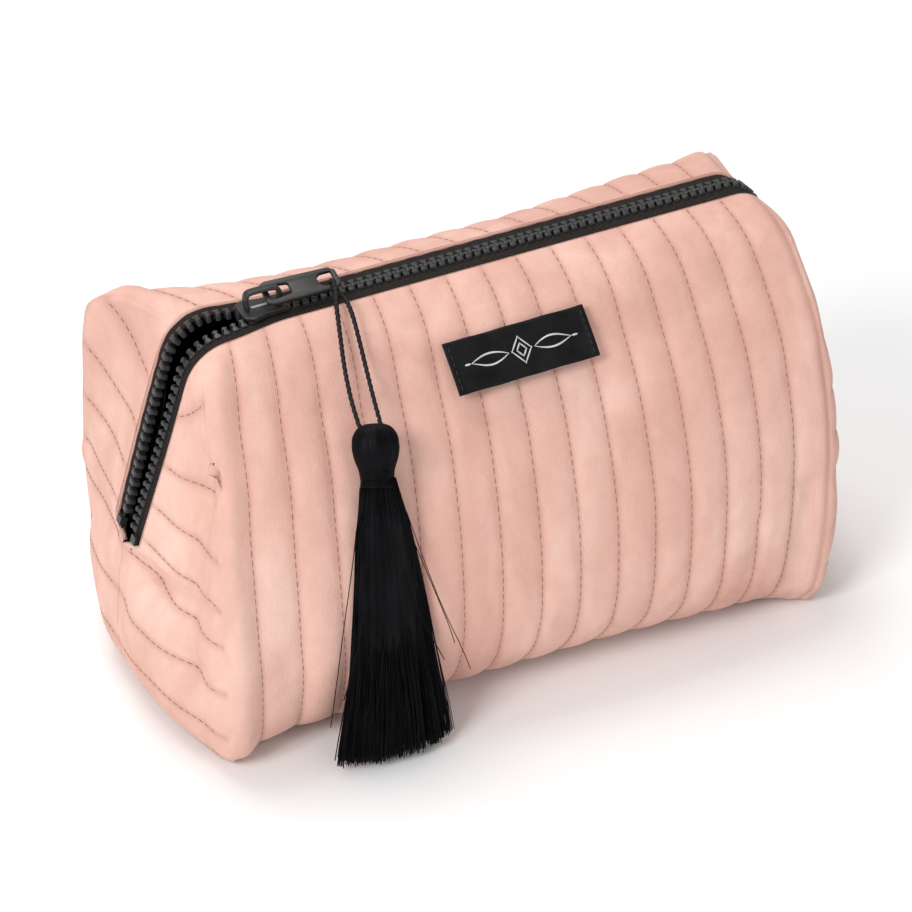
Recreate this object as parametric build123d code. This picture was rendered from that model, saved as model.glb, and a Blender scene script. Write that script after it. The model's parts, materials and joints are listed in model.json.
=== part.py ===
from build123d import *
import math
import os

# A boxy, softly stuffed makeup bag of quilted velvet. A chunky moulded zip runs along its
# top and down both ends, and a tassel hangs from the zip's pull tab over the front.
# Millimetres. X runs along the bag, the front faces -Y, +Z is up, and the origin is the
# middle of the flat base.

# The bag's body
END_SEAM_HEIGHT = 50        # the sewn seam across each end, where the zip stops
END_REACH = 113.5           # from the middle to the zip's mid plane at the end seam
FOOT_REACH = 106.5          # the same at the floor
CORNER_REACH = 102          # the upright corner seams, along X
CORNER_DEPTH = 57           # and along Y
BULGE = 6                   # how far the front and back stand out between the corners
BELLY_DEPTH = 62            # half the bag's thickness at its belly
SOFT_BEND = 60              # the radius of the shoulder and of the belly
CORNER_BEND = 14            # radii of the plan: its corners, front and ends
FRONT_BEND = 900
END_BEND = 50

# The zip
CHAIN_RISE = 3.3            # degrees: the closed chain climbs towards the right
CHAIN_START = (-67, 117)    # X and Z of the chain's mid plane where the slider rests
ZIP_LEFT = -92
ZIP_RIGHT = 92.5
PITCH = 2.9
TOOTH_LENGTH = 3.5          # across the chain
TOOTH_WIDTH = 1.25          # along the chain
TOOTH_THICKNESS = 2.2
TOOTH_PAST_CENTRE = 0.9     # how far a closed tooth reaches over the middle
OPEN_GAP = 5.1              # how far each row stands off the middle where the zip is open
OPENING_STARTS = -63
OPENING_WIDE = -84

# The cloth, from the outside in
SKIN = 1.5                  # from the velvet's face to the zip's mid plane
VELVET = 1.2
WADDING = 2.8
LINING = 0.6
TAPE = 0.6
QUILT_STEP = 13
THREAD = 0.25

# The slider and its pull tab
SLIDER_NOSE = 7.5
SLIDER_TAIL = 6.5
NOSE_HALF = 6.0
TAIL_HALF = 4.2
CHANNEL_NOSE = 5.5
CHANNEL_TAIL = 3.3
CHANNEL_HALF_HEIGHT = 1.35
PLATE = 0.9
TAPE_SLOT = 1.3
CROWN_HALF_LENGTH = 5.6
CROWN_HALF_WIDTH = 1.3
CROWN_ROOM = 4.7
CROWN_WALL = 1.2
TAB_LENGTH = 22.5
TAB_WIDTH = 9
TAB_THICKNESS = 1.3
TAB_ROLL = 20               # degrees: the tab's front edge hangs lower
TAB_DROP = 2                # degrees: its far end rests on the chain
TAB_AXIS_HEIGHT = 5.4       # the tab's pivot above the chain's mid plane

# The tassel on its doubled cord
CORD = 1.5
HEAD = Vector(-53.5, -48.2, 94.2)
HEAD_RADIUS = 6.3
COLLAR_RADIUS = 4.8
COLLAR_WALL = 0.6
COLLAR_LENGTH = 4.5
SKIRT_BACK = 64.5           # how far in front of the middle the skirt's back face hangs
SKIRT_THICKNESS = 8
SKIRT_HALF_WIDTH = 18
FLOOR_GAP = 0.6

CORD_ROUTE = [
    (-56.3, -47.0, 97.2),
    (-56.6, -42.0, 101.6),
    (-55.2, -31.8, 109.2),
    (-52.4, -21.6, 116.9),
    (-49.9, -13.2, 121.8),
    (-48.0, -8.4, 123.0),
    (-46.9, -5.0, 123.7),
    (-46.6, -1.7, 124.1),
    (-46.1, -0.5, 120.5),
    (-45.9, -4.6, 119.9),
    (-45.9, -9.6, 121.9),
    (-46.6, -17.2, 120.6),
    (-47.9, -27.4, 112.2),
    (-49.6, -38.6, 104.1),
    (-50.4, -46.8, 97.8),
]

rise = math.radians(CHAIN_RISE)
ALONG = Vector(math.cos(rise), 0, math.sin(rise))
ABOVE = Vector(-math.sin(rise), 0, math.cos(rise))


def chain_height(x):
    """Height of the chain's mid plane at x, on the straight run along the top."""
    return CHAIN_START[1] + (x - CHAIN_START[0]) * math.tan(rise)


ZIP_POINTS = [
    (-END_REACH, END_SEAM_HEIGHT),
    (ZIP_LEFT, chain_height(ZIP_LEFT)),
    (ZIP_RIGHT, chain_height(ZIP_RIGHT)),
    (END_REACH, END_SEAM_HEIGHT),
]
ZIP_CORNERS = [15, 11]


def outline(points, radii):
    """A closed flat face with each corner rounded."""
    return make_face(FilletPolyline(*points, radius=radii, close=True))


def along_profile(inset):
    """The bag seen from the front, inset from the velvet's face."""
    points = [(-FOOT_REACH, SKIN), *ZIP_POINTS, (FOOT_REACH, SKIN)]
    face = outline(points, [12, 20, *ZIP_CORNERS, 20, 12])
    grown = offset(face, amount=SKIN - inset) if SKIN != inset else face
    return extrude(Plane.XZ * grown, amount=90, both=True)


def across_profile(inset):
    """The bag seen from its end: sloping shoulders over an upright belly, tilted with the zip."""
    half = [(47, -34), (BELLY_DEPTH, -78), (CORNER_DEPTH, -130)]
    points = [(0, 15.7), *half, *[(-y, z) for y, z in reversed(half)]]
    face = outline(points, [2, SOFT_BEND, SOFT_BEND, 5, 5, SOFT_BEND, SOFT_BEND])
    inner = offset(face, amount=-inset) if inset else face
    start = Vector(CHAIN_START[0], 0, CHAIN_START[1]) + ABOVE * SKIN
    plane = Plane(origin=start, x_dir=(0, 1, 0), z_dir=ALONG)
    return extrude(plane * inner, amount=220, both=True)


def plan_profile(inset):
    """The bag seen from above, with its four boxed corners."""
    x, y = CORNER_REACH, CORNER_DEPTH
    end, front = END_REACH + SKIN + 4.5, CORNER_DEPTH + BULGE
    points = [(-x, -y), (0, -front), (x, -y), (end, 0), (x, y), (0, front), (-x, y), (-end, 0)]
    face = outline(points, [CORNER_BEND, FRONT_BEND, CORNER_BEND, END_BEND] * 2)
    inner = offset(face, amount=-inset) if inset else face
    return extrude(inner, amount=150)


def bottom_edges(inset):
    """The rounded-under front and back edges of the base."""
    half = [(38, -8), (66, 20), (66, 150)]
    points = [*half, *[(-y, z) for y, z in reversed(half)]]
    face = outline(points, [2, 9, 4, 4, 9, 2])
    inner = offset(face, amount=-inset) if inset else face
    return extrude(Plane.YZ * inner, amount=130, both=True)


def body(inset):
    """The whole closed form of the bag, inset from the velvet's face."""
    form = along_profile(inset) & across_profile(inset)
    return form & plan_profile(inset) & bottom_edges(inset)


def zip_slot(closed_half, open_half):
    """The space cut for the zip above the end seams, wider where the zip is open."""
    half = [(-150, open_half), (OPENING_WIDE + 5, open_half),
            (OPENING_STARTS + 3, closed_half), (150, closed_half)]
    points = [*half, *[(x, -y) for x, y in reversed(half)]]
    slot = extrude(make_face(Polyline(*points, close=True)), amount=120)
    return Pos(0, 0, END_SEAM_HEIGHT + 2) * slot


def half_space(side):
    """Everything on one side of the bag's middle: side -1 is the front, 1 the back."""
    return Pos(0, side * 100, 60) * Box(400, 200, 240)


def layer(outer, inner, slot, side):
    """One half of one layer of the quilted cloth."""
    return (outer - inner - slot) & half_space(side)


def zip_tape(side):
    """The woven tape that carries one row of teeth."""
    band = along_profile(VELVET) - along_profile(VELVET + TAPE)
    far, wide = 2.4 + OPEN_GAP, 13.5
    inner = [(-150, far), (OPENING_WIDE, far), (OPENING_STARTS, 2.4), (150, 2.4)]
    outer = [(150, 12), (OPENING_STARTS, 12), (OPENING_WIDE + 4, wide), (-150, wide)]
    points = [(x, side * y) for x, y in inner + outer]
    strip = extrude(make_face(Polyline(*points, close=True)), amount=120)
    return band & (Pos(0, 0, END_SEAM_HEIGHT + 2) * strip)


def zip_path():
    """The chain's mid line, from the left end seam over the top to the right end seam."""
    return FilletPolyline(*[(x, 0, z) for x, z in ZIP_POINTS], radius=ZIP_CORNERS)


def row_gap(point):
    """How far a row of teeth stands off the middle at a point of the zip."""
    share = (OPENING_STARTS - point.X) / (OPENING_STARTS - OPENING_WIDE)
    share = min(max(share, 0), 1)
    return OPEN_GAP * share * share * (3 - 2 * share)


def zip_place(path, distance):
    """A plane on the zip: x along it, y towards the back, z out of the bag."""
    point = path.position_at(distance, position_mode=PositionMode.LENGTH)
    way = path.tangent_at(distance, position_mode=PositionMode.LENGTH)
    return Plane(origin=point, x_dir=way, z_dir=Vector(-way.Z, 0, way.X))


def zip_teeth(side):
    """One row of moulded teeth, each clamped on the tape's edge."""
    path = zip_path()
    first = 8 if side < 0 else 8 + PITCH / 2
    count = int((path.length - first - 8) / PITCH)
    middle = side * (TOOTH_LENGTH / 2 - TOOTH_PAST_CENTRE)
    tooth = Box(TOOTH_WIDTH, TOOTH_LENGTH, TOOTH_THICKNESS)
    row = []
    for i in range(count):
        place = zip_place(path, first + i * PITCH)
        shift = middle + side * row_gap(place.origin)
        row.append(place * Pos(0, shift, 0) * tooth)
    return Compound(row)


def zip_stop(distance, across, width):
    """A moulded block at an end of the zip."""
    place = zip_place(zip_path(), distance)
    return place * Pos(0, across, 0) * Box(2.4, width, TOOTH_THICKNESS)


def quilt_threads(side, skin, outside):
    """The lockstitched quilting threads: upright on the front and back, level on the ends."""
    shell = (outside - skin - zip_slot(8.5, 11.5)) & half_space(side)
    shell = shell & Pos(0, 0, 81.5) * Box(400, 200, 160)
    reach = 96
    lines = []
    for i in range(int(2 * reach / QUILT_STEP) + 1):
        x = -reach + 6 + i * QUILT_STEP
        lines.append(Pos(x, 0, 75) * Box(2 * THREAD, 160, 150))
    for end in (-1, 1):
        for height in (14, 27, 40, 64, 77, 90, 103):
            lines.append(Pos(end * 112, 0, height) * Box(30, 86, 2 * THREAD))
    threads = [solid for line in lines for solid in (shell & line).solids()]
    return Compound(threads)


def end_binding(cavity, end):
    """The binding tape over the raw edges of an end seam, inside the bag."""
    slab = Pos(end * 118, 0, END_SEAM_HEIGHT + 1) * Box(30, 76, 1.2)
    return cavity & slab


def base_binding(cavity):
    """The binding tape over the seam along the middle of the base, inside the bag."""
    return cavity & Pos(0, 0, 5) * Box(190, 1.2, 8)


def corner_binding(cavity, end, side):
    """The binding tape over one upright boxed corner seam, inside the bag."""
    fin = Pos(end * 93.4, side * 48.4, 43) * Rot(0, 0, end * side * 45) * Box(9, 1.2, 62)
    return cavity & fin


def label_plane():
    """The middle of the label, on the velvet of the front shoulder."""
    slope = Vector(0, 35, 0) + ABOVE * 37
    up = slope.normalized()
    out = ALONG.cross(up)
    shoulder = Vector(CHAIN_START[0], 0, CHAIN_START[1]) + ABOVE * (SKIN - 34)
    shoulder = shoulder - Vector(0, 47, 0) + ALONG * (-CHAIN_START[0] - 1.5)
    return Plane(origin=shoulder + up * 22 + out * (THREAD + 0.05), x_dir=ALONG, z_dir=out)


def label_patch():
    """A satin label with its short ends folded under."""
    patch = Box(45, 16, 0.5, align=(Align.CENTER, Align.CENTER, Align.MIN))
    folds = [
        Pos(x, 0, 0.5) * Box(1.6, 16, 0.3, align=(Align.CENTER, Align.CENTER, Align.MIN))
        for x in (-21.7, 21.7)
    ]
    return label_plane() * (patch + folds[0] + folds[1])


def label_stitching():
    """The two lines of thread that hold the label's folded ends."""
    line = Box(0.4, 14, 0.2, align=(Align.CENTER, Align.CENTER, Align.MIN))
    return Compound([label_plane() * Pos(x, 0, 0.8) * line for x in (-21.7, 21.7)])


def slider_plane():
    """The slider's middle, on the chain's mid plane."""
    return Plane(origin=(CHAIN_START[0], 0, CHAIN_START[1]), x_dir=ALONG, z_dir=ABOVE)


def slider_outline(nose_half, tail_half, grow, taper):
    """A slider's plate from above: wide at the nose, narrow at the tail."""
    points = [
        (-SLIDER_NOSE - grow, -nose_half + taper),
        (-SLIDER_NOSE + 2.5, -nose_half),
        (0, -tail_half),
        (SLIDER_TAIL + grow, -tail_half),
    ]
    mirrored = [(x, -y) for x, y in reversed(points)]
    return make_face(Polyline(*points, *mirrored, close=True))


def zip_slider_body():
    """Two plates with side flanges, joined by the wedge between the two rows of teeth."""
    height = CHANNEL_HALF_HEIGHT + PLATE
    block = extrude(slider_outline(NOSE_HALF, TAIL_HALF, 0, 2), amount=height, both=True)
    block = fillet(block.edges().filter_by(Axis.Z), 1)
    channel = extrude(
        slider_outline(CHANNEL_NOSE, CHANNEL_TAIL, 3, -0.8), amount=CHANNEL_HALF_HEIGHT, both=True
    )
    slot = Box(40, 40, TAPE_SLOT)
    wedge = Pos(-SLIDER_NOSE + 1.7, 0, 0) * Box(2.2, 1.6, 2 * CHANNEL_HALF_HEIGHT + 0.4)
    return slider_plane() * (block - channel - slot + wedge)


def slider_crown():
    """The bridge on the slider's top plate that holds the pull tab."""
    base = CHANNEL_HALF_HEIGHT + PLATE
    top = CROWN_ROOM + CROWN_WALL
    arch = Pos(0, 0, base + top / 2) * Box(2 * CROWN_HALF_LENGTH, 2 * CROWN_HALF_WIDTH, top)
    room = Pos(0, 0, base + CROWN_ROOM / 2) * Box(
        2 * (CROWN_HALF_LENGTH - CROWN_WALL), 4 * CROWN_HALF_WIDTH, CROWN_ROOM
    )
    upper = arch.edges().filter_by(Axis.Y).group_by(Axis.Z)[-1]
    return slider_plane() * (fillet(upper, 1.8) - room)


def slider_lock_spring():
    """The small leaf spring under the crown whose tooth locks the chain."""
    leaf = Pos(0, 0, CHANNEL_HALF_HEIGHT + PLATE + 0.15) * Box(7.5, 1.2, 0.3)
    return slider_plane() * leaf


def tab_plane():
    """The pull tab's pivot: x runs to its far end, y lies along the pivot, z is its face."""
    pivot = slider_plane().from_local_coords(Vector(1.2, 0, TAB_AXIS_HEIGHT))
    roll = math.radians(TAB_ROLL)
    drop = math.radians(TAB_DROP)
    across = Vector(0, math.cos(roll), 0) + ABOVE * math.sin(roll)
    face = ABOVE * math.cos(roll) - Vector(0, math.sin(roll), 0)
    far = ALONG * math.cos(drop) - face * math.sin(drop)
    return Plane(origin=pivot, x_dir=far, z_dir=far.cross(across))


def pull_tab():
    """A flat moulded tab with a tapered eye for the crown and a D-shaped hole for the cord."""
    half = TAB_WIDTH / 2
    far = TAB_LENGTH
    plate = make_face(Polyline(
        (-0.8, -half + 1.2), (0.4, -half), (far - 1.6, -half + 0.5), (far, -half + 1.6),
        (far, half - 1.6), (far - 1.6, half - 0.5), (0.4, half), (-0.8, half - 1.2), close=True))
    eye = make_face(Polyline((0.8, -2.9), (7.4, -2.5), (7.4, 2.5), (0.8, 2.9), close=True))
    hole = make_face(Polyline((18.2, -2.3), (21, -2.7), (21, 2.7), (18.2, 2.3), close=True))
    hole = hole + Pos(18.4, 0) * Circle(2.3)
    return tab_plane() * extrude(plate - eye - hole, amount=TAB_THICKNESS / 2, both=True)


def limits(route):
    """The largest radius at each corner of a cord's route, from its two runs and its turn."""
    points = [Vector(*p) for p in route]
    radii = []
    for before, here, after in zip(points, points[1:], points[2:]):
        turn = (here - before).get_angle(after - here)
        run = min((here - before).length, (after - here).length)
        radii.append(0.45 * run / math.tan(math.radians(turn / 2)))
    return radii


def tassel_loop():
    """The doubled cord from the tassel's head, through the tab's far hole and back."""
    radii = limits(CORD_ROUTE)
    path = FilletPolyline(*CORD_ROUTE, radius=radii)
    start = Plane(origin=path @ 0, z_dir=path % 0)
    tube = sweep(start * Circle(CORD / 2), path=path)
    print("cord radii", [round(r, 1) for r in radii], "length", round(path.length, 1))
    print("cord volume over section times length",
          round(tube.volume / (math.pi * CORD * CORD / 4 * path.length), 4))
    return tube


def tassel_head():
    """The knotted ball of threads at the top of the tassel, bored where the cord goes in."""
    ball = Sphere(HEAD_RADIUS)
    return Pos(HEAD) * (ball & Pos(0, 0, 1.5) * Box(20, 20, 12)) - cord_bores()


def cord_bores():
    """Room for the two ends of the cord, which stop inside the head."""
    bores = []
    for near, far in ((CORD_ROUTE[0], CORD_ROUTE[1]), (CORD_ROUTE[-1], CORD_ROUTE[-2])):
        start = Vector(*near)
        way = (Vector(*far) - start).normalized()
        bores.append(Plane(origin=start, z_dir=way) * Cylinder(CORD / 2 + 0.05, 12, align=(
            Align.CENTER, Align.CENTER, Align.MIN)))
    return bores[0] + bores[1]


def collar_plane():
    """The tassel's neck, just under its head."""
    below = Vector(-1.3, -3.9, -7.2)
    return Plane(origin=HEAD + below, z_dir=-below)


def tassel_collar():
    """The thread wound tightly round the tassel's neck."""
    ring = Cylinder(COLLAR_RADIUS, COLLAR_LENGTH) - Cylinder(COLLAR_RADIUS - COLLAR_WALL, 10)
    return collar_plane() * ring


def tassel_skirt():
    """The hanging threads, bound in the collar and spreading to the floor."""
    back = SKIRT_BACK
    front = back + SKIRT_THICKNESS
    top = HEAD.Z - 11.8
    side_view = make_face(Polyline(
        (-50.5, top), (-back, 58), (-back, FLOOR_GAP), (-front - 2, FLOOR_GAP),
        (-front - 1.5, 55), (-57.5, top), close=True))
    slab = extrude(Plane.YZ * side_view, amount=100, both=True)
    neck, foot = HEAD.X - 1.5, HEAD.X - 3.5
    wide = SKIRT_HALF_WIDTH
    front_view = make_face(Polyline(
        (neck - 4, top), (foot - 12, 60), (foot - wide, 30), (foot - wide - 1, 0),
        (foot + wide + 1, 0), (foot + wide, 30), (foot + 12, 60), (neck + 4, top), close=True))
    flare = extrude(Plane.XZ * front_view, amount=100, both=True)
    core = collar_plane() * Pos(0, 0, -2.5) * Cylinder(COLLAR_RADIUS - COLLAR_WALL, 9.5)
    return (slab & flare) + core - Pos(HEAD) * Sphere(HEAD_RADIUS)


def bag_cloth():
    """Velvet, wadding and lining of both halves, and what is sewn to them."""
    inner = VELVET + WADDING
    face, under_velvet = body(0), body(VELVET)
    under_wadding, cavity = body(inner), body(inner + LINING)
    thread_face = body(-THREAD)
    nodes = {}
    for name, side in (("front", -1), ("back", 1)):
        nodes[name + "_panel"] = layer(face, under_velvet, zip_slot(8, 11), side)
        nodes[name + "_wadding"] = layer(under_velvet, under_wadding, zip_slot(12.2, 13.7), side)
        nodes[name + "_lining"] = layer(under_wadding, cavity, zip_slot(9, 12), side)
        nodes[name + "_quilt_thread"] = quilt_threads(side, face, thread_face)
        for end_name, end in (("left", -1), ("right", 1)):
            nodes[f"{name}_{end_name}_corner_binding"] = corner_binding(cavity, end, side)
    nodes["left_end_binding"] = end_binding(cavity, -1)
    nodes["right_end_binding"] = end_binding(cavity, 1)
    nodes["base_seam_binding"] = base_binding(cavity)
    return nodes


def bag_zip():
    """Both halves of the zip, and its stops."""
    end = zip_path().length - 4.5
    return {
        "front_zip_tape": zip_tape(-1),
        "back_zip_tape": zip_tape(1),
        "front_zip_teeth": zip_teeth(-1),
        "back_zip_teeth": zip_teeth(1),
        "zip_top_stops": Compound([zip_stop(4.8, side * (OPEN_GAP + 1), 3) for side in (-1, 1)]),
        "zip_bottom_stop": zip_stop(end, 0, 5.6),
    }


def write_nodes():
    nodes = bag_cloth()
    nodes.update(bag_zip())
    nodes["label_patch"] = label_patch()
    nodes["label_stitching"] = label_stitching()
    nodes["zip_slider_body"] = zip_slider_body()
    nodes["slider_crown"] = slider_crown()
    nodes["slider_lock_spring"] = slider_lock_spring()
    nodes["pull_tab"] = pull_tab()
    nodes["tassel_loop"] = tassel_loop()
    nodes["tassel_head"] = tassel_head()
    nodes["tassel_collar"] = tassel_collar()
    nodes["tassel_skirt"] = tassel_skirt()
    os.makedirs("parts", exist_ok=True)
    for name, shape in nodes.items():
        export_step(shape, f"parts/{name}.step")


write_nodes()
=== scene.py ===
import json
import math

import bmesh
import bpy
import numpy as np
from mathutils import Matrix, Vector


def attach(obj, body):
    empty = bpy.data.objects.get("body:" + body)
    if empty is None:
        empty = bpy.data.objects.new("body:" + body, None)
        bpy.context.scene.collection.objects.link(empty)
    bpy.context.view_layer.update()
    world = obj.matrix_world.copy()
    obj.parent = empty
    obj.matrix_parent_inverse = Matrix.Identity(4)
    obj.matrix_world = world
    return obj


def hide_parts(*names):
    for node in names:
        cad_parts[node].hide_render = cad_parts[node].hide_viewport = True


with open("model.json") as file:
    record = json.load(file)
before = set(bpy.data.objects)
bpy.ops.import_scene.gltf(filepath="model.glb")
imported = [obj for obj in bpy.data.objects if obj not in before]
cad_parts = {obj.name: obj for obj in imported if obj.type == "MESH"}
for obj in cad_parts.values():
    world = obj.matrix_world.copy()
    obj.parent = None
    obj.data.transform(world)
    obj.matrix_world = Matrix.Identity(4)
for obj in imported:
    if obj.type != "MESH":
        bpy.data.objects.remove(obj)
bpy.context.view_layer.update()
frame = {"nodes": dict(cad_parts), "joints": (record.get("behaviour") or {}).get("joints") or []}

MM = 0.001


# The camera stands in for an onlooker beside the table: it looks down on the bag from its
# front left, from a little under a metre away. Colours are shown as they are, with no film curve.
camera_data = bpy.data.cameras.new("camera")
camera_data.lens = 111.6
camera_data.sensor_width = 36
camera = bpy.data.objects.new("camera", camera_data)
bpy.context.collection.objects.link(camera)
looked_at = Vector((-0.006, 0, 0.052))
turn, height = math.radians(-25), math.radians(32)
outward = Vector((math.sin(turn) * math.cos(height), -math.cos(turn) * math.cos(height), math.sin(height)))
camera.location = looked_at + outward * 0.87
camera.rotation_euler = (-outward).to_track_quat("-Z", "Y").to_euler()
bpy.context.scene.camera = camera
bpy.context.scene.view_settings.view_transform = "Standard"


# The cord is a thin twisted rayon cord, doubled. Its two ends are sewn into the tassel's head
# and its bight goes round the rim of the hole in the pull tab.
CORD_WIDTH = 0.0015
CORD_ROUTE = [
    (-0.0563, -0.0470, 0.0972),
    (-0.0566, -0.0420, 0.1016),
    (-0.0552, -0.0318, 0.1092),
    (-0.0524, -0.0216, 0.1169),
    (-0.0499, -0.0132, 0.1218),
    (-0.0480, -0.0084, 0.1230),
    (-0.0469, -0.0050, 0.1237),
    (-0.0466, -0.0017, 0.1241),
    (-0.0461, -0.0005, 0.1205),
    (-0.0459, -0.0046, 0.1199),
    (-0.0459, -0.0096, 0.1219),
    (-0.0466, -0.0172, 0.1206),
    (-0.0479, -0.0274, 0.1122),
    (-0.0496, -0.0386, 0.1041),
    (-0.0504, -0.0468, 0.0978),
]


def nurbs_line(points, fineness):
    """The points along a smooth line that has these control points."""
    line = bpy.data.curves.new("route", "CURVE")
    line.dimensions = "3D"
    spline = line.splines.new("NURBS")
    spline.points.add(len(points) - 1)
    for control, place in zip(spline.points, points):
        control.co = (*place, 1)
    spline.order_u = 3
    spline.use_endpoint_u = True
    spline.resolution_u = fineness
    holder = bpy.data.objects.new("route", line)
    bpy.context.collection.objects.link(holder)
    mesh = bpy.data.meshes.new_from_object(holder)
    places = [v.co.copy() for v in mesh.vertices]
    bpy.data.objects.remove(holder)
    return places


def piece_of(name, verts, faces, material, body, smooth=True):
    """A named piece that rides on a body, from its corners and faces in metres."""
    mesh = bpy.data.meshes.new(name)
    mesh.from_pydata([tuple(v) for v in verts], [], faces)
    mesh.validate()
    mesh.polygons.foreach_set("use_smooth", [smooth] * len(mesh.polygons))
    piece = bpy.data.objects.new(name, mesh)
    bpy.context.collection.objects.link(piece)
    if material:
        mesh.materials.append(material)
    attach(piece, body)
    return piece


def finish_of(name, colour, roughness, **sockets):
    """A new material with its shader's own values set; returns what its nodes are built with."""
    material = bpy.data.materials.new(name)
    material.use_nodes = True
    tree = material.node_tree
    shader = tree.nodes["Principled BSDF"]
    shader.inputs["Base Color"].default_value = (*colour, 1)
    shader.inputs["Roughness"].default_value = roughness
    for socket, value in sockets.items():
        shader.inputs[socket.replace("_", " ")].default_value = value
    return material, tree, shader


def noise_of(tree, scale, detail=2.0, stretch=(1, 1, 1), distortion=0.0):
    """Noise over the piece in metres, stretched if it is asked for."""
    place = tree.nodes.new("ShaderNodeTexCoord")
    mapping = tree.nodes.new("ShaderNodeMapping")
    mapping.inputs["Scale"].default_value = stretch
    tree.links.new(place.outputs["Object"], mapping.inputs["Vector"])
    texture = tree.nodes.new("ShaderNodeTexNoise")
    texture.inputs["Scale"].default_value = scale
    texture.inputs["Detail"].default_value = detail
    texture.inputs["Distortion"].default_value = distortion
    tree.links.new(mapping.outputs["Vector"], texture.inputs["Vector"])
    return texture.outputs["Fac"]


def stripes_of(tree, scale, direction, distortion=0.0):
    """Wavy stripes over the piece in metres."""
    place = tree.nodes.new("ShaderNodeTexCoord")
    texture = tree.nodes.new("ShaderNodeTexWave")
    texture.inputs["Scale"].default_value = scale
    texture.inputs["Distortion"].default_value = distortion
    texture.bands_direction = direction
    tree.links.new(place.outputs["Object"], texture.inputs["Vector"])
    return texture.outputs["Fac"]


def ramp_of(tree, value, stops):
    """Colours laid along a value: stops are (place, colour)."""
    ramp = tree.nodes.new("ShaderNodeValToRGB")
    while len(ramp.color_ramp.elements) < len(stops):
        ramp.color_ramp.elements.new(0.5)
    for element, (place, colour) in zip(ramp.color_ramp.elements, stops):
        element.position = place
        element.color = (*colour, 1)
    tree.links.new(value, ramp.inputs["Fac"])
    return ramp.outputs["Color"]


def coloured_by(tree, shader, value, stops):
    """The shader's colour, laid along a value."""
    tree.links.new(ramp_of(tree, value, stops), shader.inputs["Base Color"])


def bump_of(tree, shader, *heights):
    """Bumps one over another: each is (value, strength, distance in metres)."""
    last = None
    for value, strength, distance in heights:
        bump = tree.nodes.new("ShaderNodeBump")
        bump.inputs["Strength"].default_value = strength
        bump.inputs["Distance"].default_value = distance
        tree.links.new(value, bump.inputs["Height"])
        if last:
            tree.links.new(last, bump.inputs["Normal"])
        last = bump.outputs["Normal"]
    tree.links.new(last, shader.inputs["Normal"])


def ring_faces(rings, count):
    """The quads between rings of corners that are listed one ring after another."""
    faces = []
    for i in range(rings - 1):
        for k in range(count):
            n = (k + 1) % count
            low, high = i * count, (i + 1) * count
            faces.append((low + k, low + n, high + n, high + k))
    return faces


def tube_faces(rings, count):
    """The sides and both ends of a tube made of rings of corners."""
    ends = [tuple(reversed(range(count))), tuple(range((rings - 1) * count, rings * count))]
    return ring_faces(rings, count) + ends


def circle_of(radius, count):
    """The corners of a round section, as (across, up) pairs."""
    angles = [2 * math.pi * k / count for k in range(count)]
    return [(radius * math.cos(angle), radius * math.sin(angle)) for angle in angles]


def swept(path, section, twist=0.0):
    """A tube whose section, (across, up) pairs, follows the path and turns about it as it goes."""
    verts = []
    up = Vector((0, 0, 1))
    gone = 0.0
    for i, place in enumerate(path):
        way = (path[min(i + 1, len(path) - 1)] - path[max(i - 1, 0)]).normalized()
        up = (up - way * up.dot(way)).normalized()
        across = way.cross(up)
        if i:
            gone += (place - path[i - 1]).length
        c, s = math.cos(twist * gone), math.sin(twist * gone)
        for a, b in section:
            verts.append(place + across * (a * c - b * s) + up * (a * s + b * c))
    return verts, tube_faces(len(path), len(section))


rayon, tree, shader = finish_of("rayon_cord", (0.008, 0.007, 0.008), 0.5, Specular_IOR_Level=0.2)
fibres = noise_of(tree, 2600, 2, (1, 1, 1))
coloured_by(tree, shader, fibres, [(0.3, (0.004, 0.004, 0.005)), (0.75, (0.016, 0.014, 0.015))])
bump_of(tree, shader, (fibres, 0.4, 0.0001))

cord_line = nurbs_line(CORD_ROUTE, 14)
three_plies = []
for k in range(18):
    angle = 2 * math.pi * k / 18
    reach = CORD_WIDTH / 2 * (0.86 + 0.14 * math.cos(3 * angle))
    three_plies.append((reach * math.cos(angle), reach * math.sin(angle)))
verts, faces = swept(cord_line, three_plies, twist=2 * math.pi / 0.0058)
tassel_cord = piece_of("tassel_cord", verts, faces, rayon, "loop")
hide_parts("tassel_loop")


# The bag's two halves are velvet quilted over wadding, each one panel from the zip down over
# the shoulder, the front or back, and half of the base. The corners are boxed, so each half is
# lofted through five sections: its two ends, its two corner seams and its middle.
ZIP_CORNER_POINTS = [(-113.5, 50), (-92, 115.56), (92.5, 126.2), (113.5, 50)]
ZIP_BENDS = [15, 11]
CLIMB = math.radians(3.3)
SKIN = 1.5
EDGE_LIFT = 0.55
ZIP_EDGE = 8.4


def bent_path(corners, radii, step=0.5):
    """The points of straight runs joined by arcs, in (x, z)."""
    points = [np.array(corners[0], float)]
    for before, here, after, radius in zip(corners, corners[1:], corners[2:], radii):
        before, here, after = (np.array(p, float) for p in (before, here, after))
        a = (here - before) / np.linalg.norm(here - before)
        b = (after - here) / np.linalg.norm(after - here)
        bend = math.acos(float(a @ b))
        start = here - a * radius * math.tan(bend / 2)
        inside = np.array([a[1], -a[0]])
        for i in range(13):
            t = bend * i / 12
            points.append(start + a * radius * math.sin(t) + inside * radius * (1 - math.cos(t)))
    points.append(np.array(corners[-1], float))
    points = np.array(points)
    run = np.concatenate([[0], np.cumsum(np.linalg.norm(np.diff(points, axis=0), axis=1))])
    at = np.arange(0, run[-1], step)
    return np.stack([np.interp(at, run, points[:, k]) for k in (0, 1)], 1), at


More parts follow.
